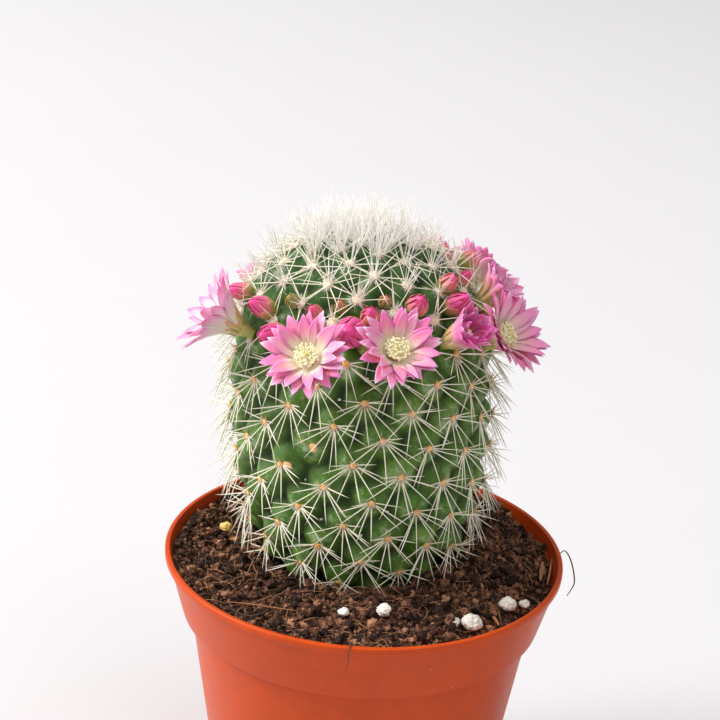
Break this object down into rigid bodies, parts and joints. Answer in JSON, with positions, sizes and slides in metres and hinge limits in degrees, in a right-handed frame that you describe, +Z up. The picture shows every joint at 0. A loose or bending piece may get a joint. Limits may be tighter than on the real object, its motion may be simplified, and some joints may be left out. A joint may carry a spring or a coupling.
{
  "type": "potted round cactus",
  "caption": "Round spiny cactus ringed with small pink flowers and buds, growing in peat soil in a terracotta-coloured plastic nursery pot.",
  "frame": {"origin": "centre of the pot's foot, on the surface it stands on", "axes": "+Z up along the pot's axis, -Y towards the side of the cactus with the two open flowers that face outwards side by side, +X to the right of that side"},
  "size_m": [0.085, 0.085, 0.1447],
  "materials": {
    "pot_plastic": "semi-gloss injection-moulded plastic",
    "peat": "rough, fibrous",
    "cactus_skin": "waxy green skin",
    "petals": "silky",
    "anthers": "powdery",
    "bud_skin": "satin",
    "perlite": "chalky",
    "wood_fibre": "raw"
  },
  "bodies": {
    "root": {"bud_01": "bud_skin", "bud_02": "bud_skin", "bud_03": "bud_skin", "bud_04": "bud_skin", "bud_05": "bud_skin", "bud_06": "bud_skin", "bud_07": "bud_skin", "bud_08": "bud_skin", "bud_09": "bud_skin", "bud_10": "bud_skin", "bud_11": "bud_skin", "bud_12": "bud_skin", "bud_13": "bud_skin", "bud_14": "bud_skin", "bud_15": "bud_skin", "bud_16": "bud_skin", "bud_17": "bud_skin", "bud_18": "bud_skin", "bud_19": "bud_skin", "bud_20": "bud_skin", "bud_21": "bud_skin", "bud_22": "bud_skin", "flower_01": "petals", "flower_02": "petals", "flower_03": "petals", "flower_04": "petals", "flower_05": "petals", "flower_06": "petals", "flower_07": "petals", "flower_08": "petals", "flower_09": "petals", "flower_10": "petals", "flower_11": "petals", "perlite_1": "perlite", "perlite_2": "perlite", "perlite_3": "perlite", "perlite_4": "perlite", "perlite_5": "perlite", "perlite_6": "perlite", "perlite_7": "perlite", "pot": "pot_plastic", "soil": "peat", "stamens_01": "anthers", "stamens_02": "anthers", "stamens_03": "anthers", "stamens_04": "anthers", "stamens_05": "anthers", "stamens_06": "anthers", "stamens_07": "anthers", "stamens_08": "anthers", "stamens_09": "anthers", "stamens_10": "anthers", "stamens_11": "anthers", "stem": "cactus_skin", "wood_sliver_1": "wood_fibre", "wood_sliver_2": "wood_fibre", "wood_sliver_3": "wood_fibre"}
  },
  "joints": []
}
